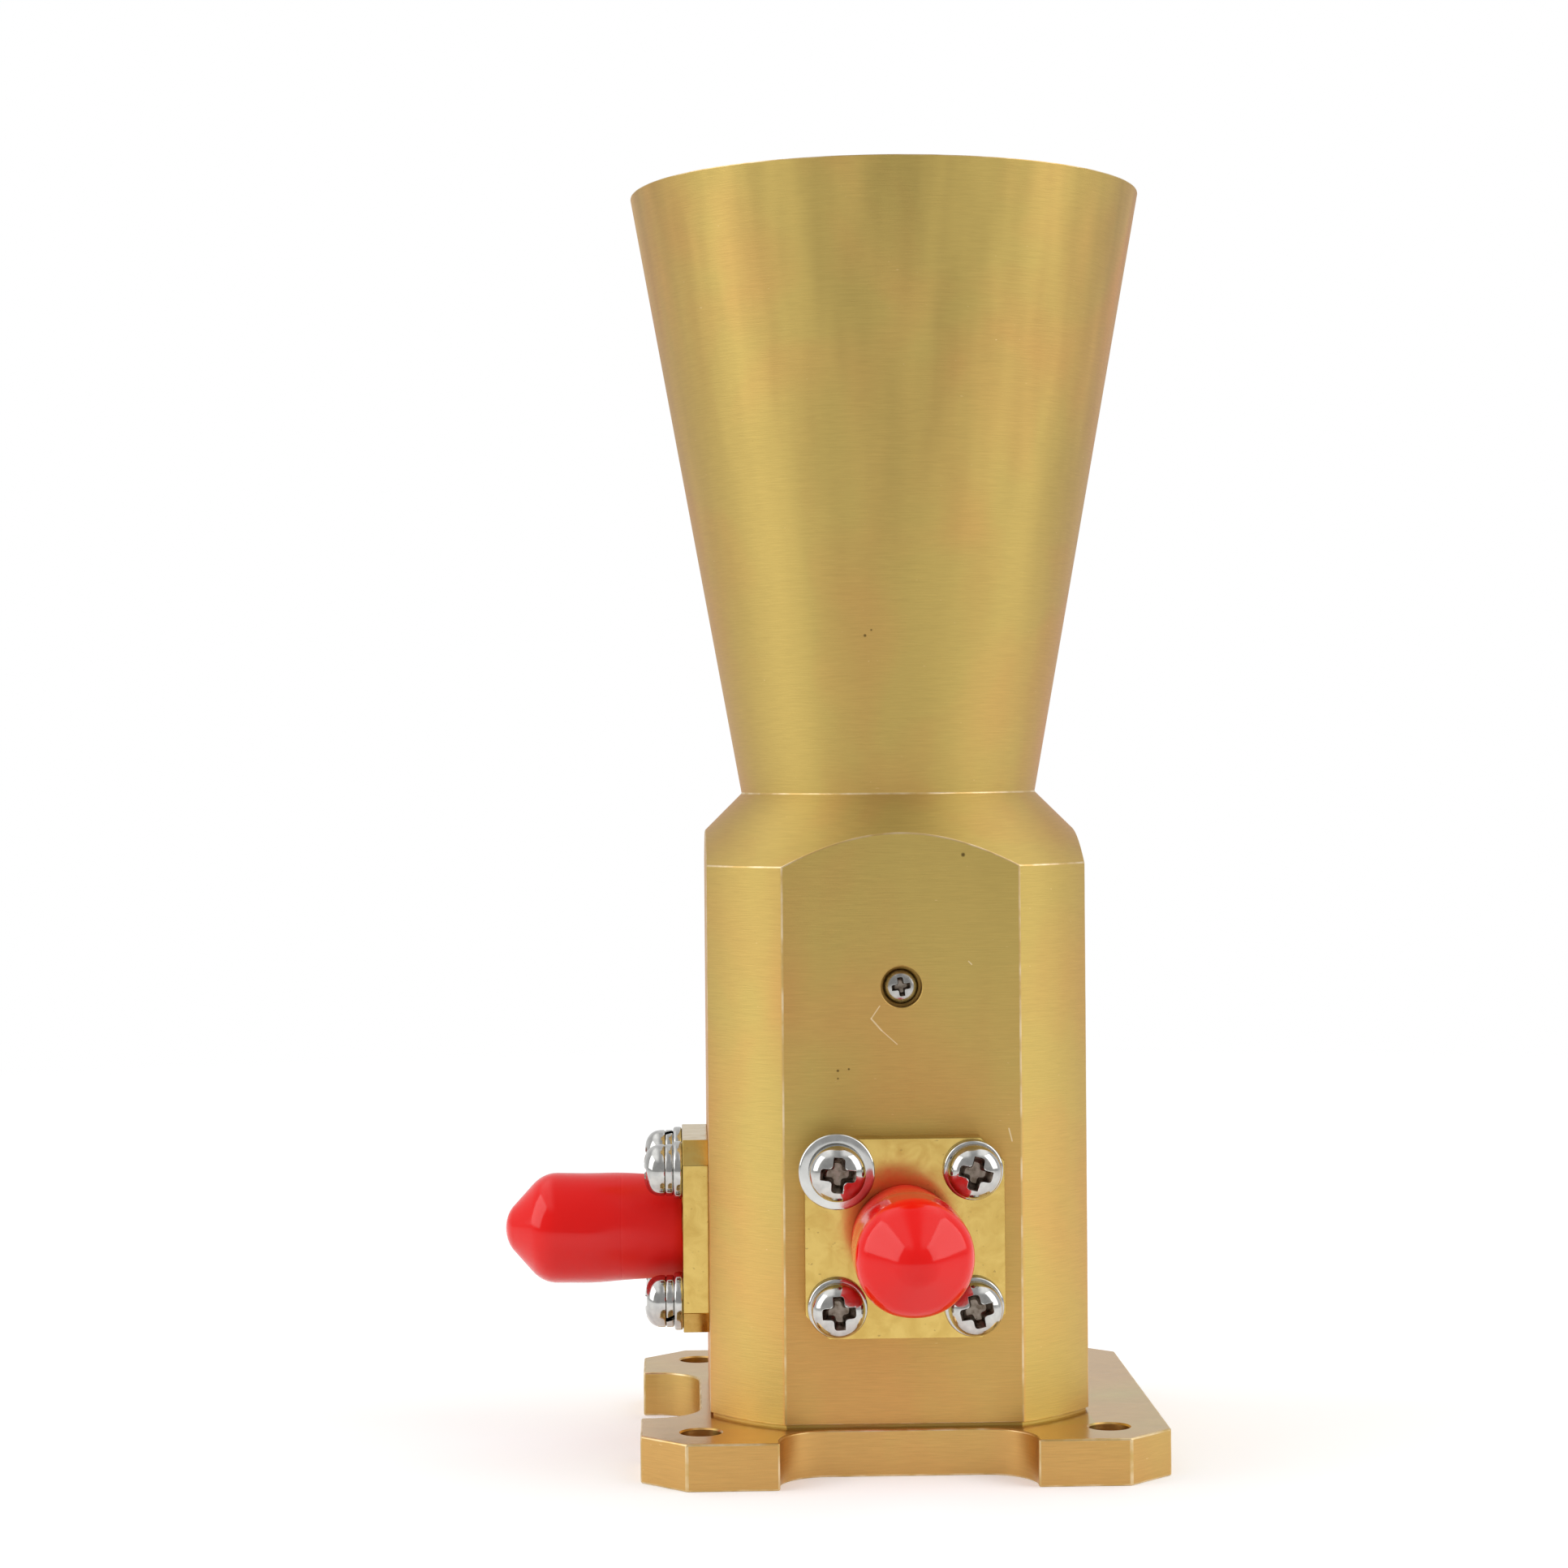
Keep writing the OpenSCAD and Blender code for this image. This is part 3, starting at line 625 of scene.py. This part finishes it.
# %% Screws
def driver_tip(top, span, wing, depth):
    """The cutter for a cross recess whose mouth is at a height."""
    bm = bmesh.new()
    bmesh.ops.create_cube(bm, size=wing)
    sides = [f for f in bm.faces if abs(f.normal.z) < 0.5]
    for face in bmesh.ops.extrude_discrete_faces(bm, faces=sides)["faces"]:
        bmesh.ops.translate(bm, verts=face.verts, vec=face.normal * (span - wing) / 2)
    above = 0.3 * MM
    bmesh.ops.scale(bm, verts=bm.verts, vec=(1, 1, (depth + above) / wing))
    bmesh.ops.translate(bm, verts=bm.verts, vec=(0, 0, top + (above - depth) / 2))
    low = [v for v in bm.verts if v.co.z < top]
    bmesh.ops.scale(bm, verts=low, vec=(0.5, 0.5, 1))
    inner = [e for e in bm.edges if upright(e) and e.verts[0].co.xy.length < wing]
    bmesh.ops.bevel(bm, geom=inner, offset=0.22 * wing, offset_type="OFFSET", segments=3,
                    profile=0.5, affect="EDGES", material=-1)
    return bm


def pan_head(r, height):
    """Outline of a smoothly domed head that stands on the height 0."""
    fullness, steps, rim = 2 / 2.7, 16, 0.1 * MM
    turns = [pi / 2 * i / steps for i in range(1, steps)]
    dome = [(r * cos(t) ** fullness, rim + (height - rim) * sin(t) ** fullness) for t in turns]
    return [(r - rim, 0), (r - 0.3 * rim, 0.3 * rim), (r, rim), *dome, (0, height)]


def screw(head_outline, height, shank_r, length, span, wing, depth):
    """One screw with its head standing on the height 0 and its shank below."""
    point = 0.25 * MM
    shank = [(0, -length), (shank_r - point, -length), (shank_r, -length + point), (shank_r, 0)]
    bm = lathe(bmesh.new(), [*shank, *head_outline], steps=64, closed=False)
    blank = carve(keep("blank", bm), keep("tip", driver_tip(height, span, wing, depth)))
    bm = reopen(blank)
    rim = height - 0.3 * depth
    round_edges(bm, 0.03 * MM, sharper_than=38, segments=2,
                only=lambda e: min(v.co.z for v in e.verts) > rim)
    # The faces inside the cross recess get the second finish, a darker and browner nickel.
    for face in bm.faces:
        middle = face.calc_center_median()
        steep = face.normal.z < 0.6 and middle.z > height - depth
        if middle.xy.length < span / 2 and (steep or abs(middle.z - height + depth) < 0.1 * depth):
            face.material_index = 1
    return keep("screw", bm)


head_h, washer_t, spring_t = 1.4 * MM, 0.6 * MM, 0.55 * MM
head_y = flange_y + washer_t + spring_t
flange_screw = screw(pan_head(1.7 * MM, head_h), head_h, screw_r, 6 * MM, 2.6 * MM, 0.84 * MM,
                     0.95 * MM)
seats = at_corners(screw_pitch, head_y, (-5, -14, 3, 13))
seats[0] = seats[0] @ Matrix.Diagonal((1.06, 1.06, 1, 1))
bm = add_copies(bmesh.new(), flange_screw.data, [ON_FRONT @ p for p in seats])
dress(keep("front_flange_screws_dressed", bm), nickel, "nickel", "front_flange_screws",
      inside=recess_dark_nickel)
bm = add_copies(bmesh.new(), flange_screw.data,
                [ON_LEFT @ p for p in at_corners(screw_pitch, head_y, (20, -8, 35, 12))])
dress(keep("left_flange_screws_dressed", bm), nickel, "nickel", "left_flange_screws",
      inside=recess_dark_nickel)
bpy.data.objects.remove(flange_screw)

# %% [markdown]
# Under each head lie a split spring washer and a plain one. The plain washers are stamped, so
# their rims are soft. The spring washers are square wire with rounded edges, parted by a slanted
# slit.

# %% Washers
def washers(name, place, bm_ring, height, which=(0, 1, 2, 3), turns=(0, 0, 0, 0)):
    """Copies of one washer under the screw heads of a flange."""
    one = keep("washer", bm_ring)
    made = keep(name, add_copies(bmesh.new(), one.data, [
        place @ p for p in at_corners(screw_pitch, height, turns, which)]))
    bpy.data.objects.remove(one)
    return made


def spring_washer():
    """A rounded square ring with a slanted slit."""
    spring_r = 1.7 * MM
    one = keep("spring", ring(screw_r + 0.1 * MM, spring_r, 0, spring_t, 0.13 * MM))
    slit = bmesh.new()
    bmesh.ops.create_cube(slit, size=1, matrix=Matrix.Translation((spring_r, 0, spring_t / 2))
                          @ Matrix.Rotation(radians(25), 4, "X")
                          @ Matrix.Diagonal((2 * spring_r, 0.35 * MM, 4 * spring_t, 1)))
    return reopen(carve(one, keep("slit", slit)))


def flat_washer(r):
    return ring(screw_r + 0.1 * MM, r, 0, washer_t, 0.17 * MM)


plain_r, wide_r, SLITS = 1.9 * MM, 2.425 * MM, (70, 155, 240, 325)
for side, place in (("front", ON_FRONT), ("left", ON_LEFT)):
    dress(washers(side + "_springs_dressed", place, spring_washer(), flange_y + washer_t,
                  turns=SLITS), nickel, "nickel", side + "_spring_washers")
dress(washers("front_flats_dressed", ON_FRONT, flat_washer(plain_r), flange_y, which=(1, 2, 3)),
      nickel, "nickel", "front_flat_washers")
dress(washers("front_wide_dressed", ON_FRONT, flat_washer(wide_r), flange_y, which=(0,)),
      bright_nickel, "nickel", "front_wide_washer")
dress(washers("left_flats_dressed", ON_LEFT, flat_washer(plain_r), flange_y),
      nickel, "nickel", "left_flat_washers")

# %% [markdown]
# The tuning screw is a small cheese-shaped screw, sunk in its counterbore. The base screws are
# countersunk and come up through the plate, so their heads are drawn upside down.

# %% Tuning screw and base screws
tuner_h = 0.9 * MM
tuner_seat = -tuner_low.y - tuner_h
tuner = screw(pan_head(1.15 * MM, tuner_h), tuner_h, 0.8 * MM, tuner_seat + tuner_high.y,
              1.55 * MM, 0.46 * MM, 0.56 * MM)
sunk_in = AT_TUNER @ Matrix.Translation((0, 0, tuner_seat)) @ Matrix.Rotation(radians(8), 4, "Z")
bm = add_copies(bmesh.new(), tuner.data, [sunk_in])
bpy.data.objects.remove(tuner)
dress(keep("tuning_screw_dressed", bm), dark_nickel, "nickel", "tuning_screw",
      inside=recess_dark_nickel)

sunk = 0.1 * MM
base_head_r, base_length = 1.8 * MM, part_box("base_screws")[1].z
cone_h = base_head_r - screw_r
cone = [(base_head_r - 0.03 * MM, cone_h - 0.05 * MM), (base_head_r, cone_h), (0, cone_h)]
base_screw = screw(cone, cone_h, screw_r, base_length - sunk - cone_h, 1.9 * MM, 0.62 * MM,
                   0.7 * MM)
flip = Matrix.Translation((0, 0, sunk + cone_h)) @ Matrix.Rotation(pi, 4, "X")
bm = add_copies(bmesh.new(), base_screw.data,
                [p @ flip for p in at_corners(base_pitch, 0, (12, 50, 77, 30))])
bpy.data.objects.remove(base_screw)
dress(keep("base_screws_dressed", bm), nickel, "nickel", "base_screws",
      inside=recess_dark_nickel)

# %% [markdown]
# A connector's shell is one piece of plated brass: a square flange with its corners cut, and a
# threaded barrel. Under the cap the thread is drawn as a row of rings, which at this size reads
# as a thread.

# %% Connector shells
def connector_shell():
    """Flange and barrel, drawn upright with the horn's axis at the height 0."""
    bm = bmesh.new()
    box_between(bm, (-flange_half, -flange_half, flat_y), (flange_half, flange_half, flange_y))
    bmesh.ops.bevel(bm, geom=[e for e in bm.edges if upright(e)], offset=1.5 * MM,
                    offset_type="OFFSET", segments=1, profile=0.5, affect="EDGES", material=-1)
    round_edges(bm, 0.06 * MM)
    flange = keep("flange", bm)
    corners = [(x * screw_pitch / 2, y * screw_pitch / 2, 1.15 * MM) for x, y in CORNERS]
    middle = Matrix.Identity(4)
    carve(flange, drill(middle, flat_y - MM, flange_y + MM, *corners, (0, 0, insulator_r + play)))
    barrel_r, root_r, relief_r, socket_r = 3.125 * MM, 2.78 * MM, 2.7 * MM, 2.3 * MM
    thread_low, thread_high, turns = flange_y + 1.4 * MM, barrel_end - 0.35 * MM, 8
    pitch = (thread_high - thread_low) / turns
    rings = [point for i in range(turns) for point in (
        (barrel_r, thread_low + (i + 0.14) * pitch), (root_r, thread_low + (i + 0.5) * pitch),
        (barrel_r, thread_low + (i + 0.86) * pitch))]
    bore = insulator_r + play
    socket_floor = -seat_low.y
    barrel = lathe(bmesh.new(), [
        (bore, flat_y + 0.5 * MM), (relief_r, flat_y + 0.5 * MM), (relief_r, flange_y + 1.1 * MM),
        *rings, (barrel_r - 0.3 * MM, barrel_end), (socket_r + 0.1 * MM, barrel_end),
        (socket_r, barrel_end - 0.1 * MM), (socket_r, socket_floor), (bore, socket_floor)])
    barrel_piece = keep("barrel", barrel)
    bm = add_copies(reopen(flange), barrel_piece.data, [middle])
    bpy.data.objects.remove(barrel_piece)
    return keep("shell", bm)


shell = connector_shell()
for side, place in (("front", ON_FRONT), ("left", ON_LEFT)):
    dress(keep(side + "_shell_dressed", add_copies(bmesh.new(), shell.data, [place])),
          flange_gold, "plated_brass", side + "_connector_shell", crease=30)
bpy.data.objects.remove(shell)

# %% [markdown]
# Inside the shell a white insulator holds a gold contact. The contact's mouth is slit into four
# springy fingers, which grip the pin of a plug, and its other end reaches into the waveguide as
# the probe. Both are lathed, and two thin blocks at right angles saw the slits. The caps hide
# them, but a user may leave a cap off.

# %% Insulators and contacts
seat_bottom, seat_top = -seat_high.y, -seat_low.y
pin_bottom, pin_top, pin_r, pin_bore = -pin_high.y, -pin_low.y, 0.635 * MM, 2.6 * MM
insulator = keep("insulator", ring(pin_r + play, insulator_r, seat_bottom, seat_top, 0.06 * MM))
contact = keep("contact", lathe(bmesh.new(), [
    (0, pin_bottom), (pin_r - 0.15 * MM, pin_bottom), (pin_r, pin_bottom + 0.15 * MM),
    (pin_r, pin_top - 0.08 * MM), (pin_r - 0.06 * MM, pin_top), (0.475 * MM, pin_top),
    (0.475 * MM, pin_top - pin_bore), (0, pin_top - pin_bore - 0.2 * MM)], steps=48, closed=False))
half_slit, slit_floor = 0.09 * MM, pin_top - pin_bore + 0.4 * MM
for turn in (0, pi / 2):
    slot = bmesh.new()
    box_between(slot, (-MM, -half_slit, slit_floor), (MM, half_slit, pin_top + MM))
    bmesh.ops.rotate(slot, verts=slot.verts, cent=(0, 0, 0), matrix=Matrix.Rotation(turn, 3, "Z"))
    carve(contact, keep("slot", slot))
for side, place in (("front", ON_FRONT), ("left", ON_LEFT)):
    dress(keep(side + "_insulator_dressed", add_copies(bmesh.new(), insulator.data, [place])),
          white_plastic, "insulator", side + "_insulator")
    dress(keep(side + "_contact_dressed", add_copies(bmesh.new(), contact.data, [place])),
          contact_gold, "plated_contact", side + "_contact")
bpy.data.objects.remove(insulator)
bpy.data.objects.remove(contact)

# %% [markdown]
# The dust caps are dip-moulded: vinyl that ran down and set in a soft, blunt point. The outline
# is lathed and smoothed, and a little procedural displacement gives the slight waves of a dipped
# skin.

# %% Dust caps
def dust_cap(height):
    """A cap of this height standing on the height 0."""
    open_r, wide_r, swell_z = 3.4 * MM, 3.7 * MM, 6.6 * MM
    shoulder_z, shoulder_r, nose_r, skin = 8.4 * MM, 2.2 * MM, 2.25 * MM, 0.6 * MM
    centre_r = wide_r - shoulder_r
    nose_z = height - nose_r
    run = Vector((nose_z - shoulder_z, -centre_r))
    lean = 90 - (atan2(run.y, run.x) + acos((shoulder_r - nose_r) / run.length)) * 180 / pi
    bore, bore_top, lip = 3.155 * MM, barrel_end - flange_y + 0.2 * MM, 0.12 * MM
    inner = [*arc(0, nose_z, nose_r - skin, 90, lean, 8), (bore, bore_top), (bore, lip),
             (bore + lip / 2, lip / 6)]
    side = []
    for i in range(12):
        part = i / 12
        swell = (3 * part ** 2 - 2 * part ** 3) ** 0.8
        side.append((open_r + (wide_r - open_r) * swell, lip + part * (swell_z - lip)))
    outline = [*inner, (open_r - lip / 2, lip / 6), *side, (wide_r, swell_z),
               (wide_r, (swell_z + shoulder_z) / 2),
               *arc(centre_r, shoulder_z, shoulder_r, 0, lean, 12),
               *arc(0, nose_z, nose_r, lean, 90, 14)]
    outline[0] = (0, outline[0][1])
    outline[-1] = (0, outline[-1][1])
    return lathe(bmesh.new(), outline, steps=128, closed=False)


cap_h = -cap_low.y - flange_y
cap = keep("cap", dust_cap(cap_h))
waves = bpy.data.textures.new("waves", "CLOUDS")
waves.noise_scale, waves.noise_depth = 2.6 * MM, 0
for side, place in (("front", ON_FRONT), ("left", ON_LEFT)):
    seat = place @ Matrix.Translation((0, 0, flange_y))
    piece = keep(side + "_cap_dressed", add_copies(bmesh.new(), cap.data, [seat]))
    dip = piece.modifiers.new("dip", "DISPLACE")
    dip.texture, dip.texture_coords, dip.mid_level, dip.strength = waves, "LOCAL", 0.7, 0.12 * MM
    settle(piece)
    dress(piece, red_vinyl, "red_vinyl", side + "_dust_cap", crease=60)
bpy.data.objects.remove(cap)

# %% [markdown]
# The horn stands on a pale floor that goes over into white with distance, as a sheet of paper
# under studio lamps does. Near the horn it is a matt surface that takes the shadow, with a faint
# glow that only the camera and the metal see. Further away it gives its own light, so no edge of
# the floor shows.

# %% Floor
FLOOR_SIZE = 3.0
bm = bmesh.new()
bmesh.ops.create_grid(bm, x_segments=1, y_segments=1, size=FLOOR_SIZE / 2)
floor = keep("floor", bm)
floor_paint, tree, shader, floor_place = new_finish(
    "floor_paint", Roughness=0.9, Base_Color=(0.85, 0.85, 0.85, 1), Specular_IOR_Level=0.0)
path = add_node(tree, "LightPath")
away = add_node(tree, "VectorMath", {"operation": "LENGTH"}, i0=floor_place).outputs["Value"]
NEAR, FAR = 0.06, 0.3
far = stretch(tree, away, NEAR, FAR)
seen = math(tree, "MAXIMUM", path.outputs["Is Camera Ray"], path.outputs["Is Glossy Ray"])
near_glow = math(tree, "MULTIPLY", seen, 0.26)
shader.inputs["Emission Color"].default_value = (1, 1, 1, 1)
tree.links.new(near_glow, shader.inputs["Emission Strength"])
level = stretch(tree, path.outputs["Is Camera Ray"], 0, 1, 0.9, 1.0)
white = add_node(tree, "Emission", Strength=level)
faded = add_node(tree, "MixShader", i0=far, i1=shader.outputs["BSDF"], i2=white.outputs["Emission"])
tree.links.new(faded.outputs["Shader"], tree.nodes["Material Output"].inputs["Surface"])
floor.data.materials.append(floor_paint)
print("floor_paint", len(tree.nodes), "nodes")

# %% [markdown]
# Metal shows the room more than its own colour. The room is darker behind the camera and lighter
# behind the horn, and its ceiling is bright on both sides of a darker middle, which draws two
# bright patches on the sloping shoulder. The camera itself sees plain white. A picture of a real
# room could do the same, but a few ramps over the direction are enough here.

# %% World
world = bpy.data.worlds.new("room")
scene.world = world
world.use_nodes = True
tree = world.node_tree
sky = tree.nodes["Background"]
direction = add_node(tree, "TexCoord").outputs["Generated"]
toward = add_node(tree, "SeparateXYZ", Vector=direction).outputs
walls = stretch(tree, toward["Y"], -0.9, 0.9, 0.41, 0.76)
beside = stretch(tree, math(tree, "ABSOLUTE", toward["X"]), 0.12, 0.32)
ceiling = math(tree, "MULTIPLY", stretch(tree, toward["Z"], 0.62, 0.8, 0.0, 0.66), beside)
room = math(tree, "ADD", walls, ceiling)
path = add_node(tree, "LightPath")
tree.links.new(blend(tree, path.outputs["Is Camera Ray"], room, (1, 1, 1, 1)), sky.inputs["Color"])
print("room", len(tree.nodes), "nodes")

# %% [markdown]
# Two large soft boxes stand left and right, a little in front. They draw the two upright bands of
# light on the flare and the two windows on the caps. Large lamps are used instead of small ones,
# because satin metal looks flat under a point of light. Their brightness is given as what a
# mirror would show of them.

# %% Soft boxes
def soft_box(name, azimuth, elevation, distance, width, height, brightness):
    """A large area lamp that faces the horn. Brightness is the radiance that metal would show."""
    lamp = bpy.data.lights.new(name, "AREA")
    lamp.shape, lamp.size, lamp.size_y = "RECTANGLE", width, height
    lamp.energy = brightness * pi * width * height
    holder = bpy.data.objects.new(name, lamp)
    turn, rise = radians(azimuth), radians(elevation)
    middle = Vector((0, 0, 0.04))
    aim = Vector((sin(turn) * cos(rise), -cos(turn) * cos(rise), sin(rise)))
    holder.location = middle + distance * aim
    holder.rotation_euler = (holder.location - middle).to_track_quat("Z", "Y").to_euler()
    scene.collection.objects.link(holder)
    print(name, round(lamp.energy, 2), "W")


soft_box("left_box", azimuth=-78, elevation=25, distance=0.6, width=0.44, height=0.48,
         brightness=1.92)
soft_box("right_box", azimuth=72, elevation=26, distance=0.6, width=0.48, height=0.48,
         brightness=1.78)
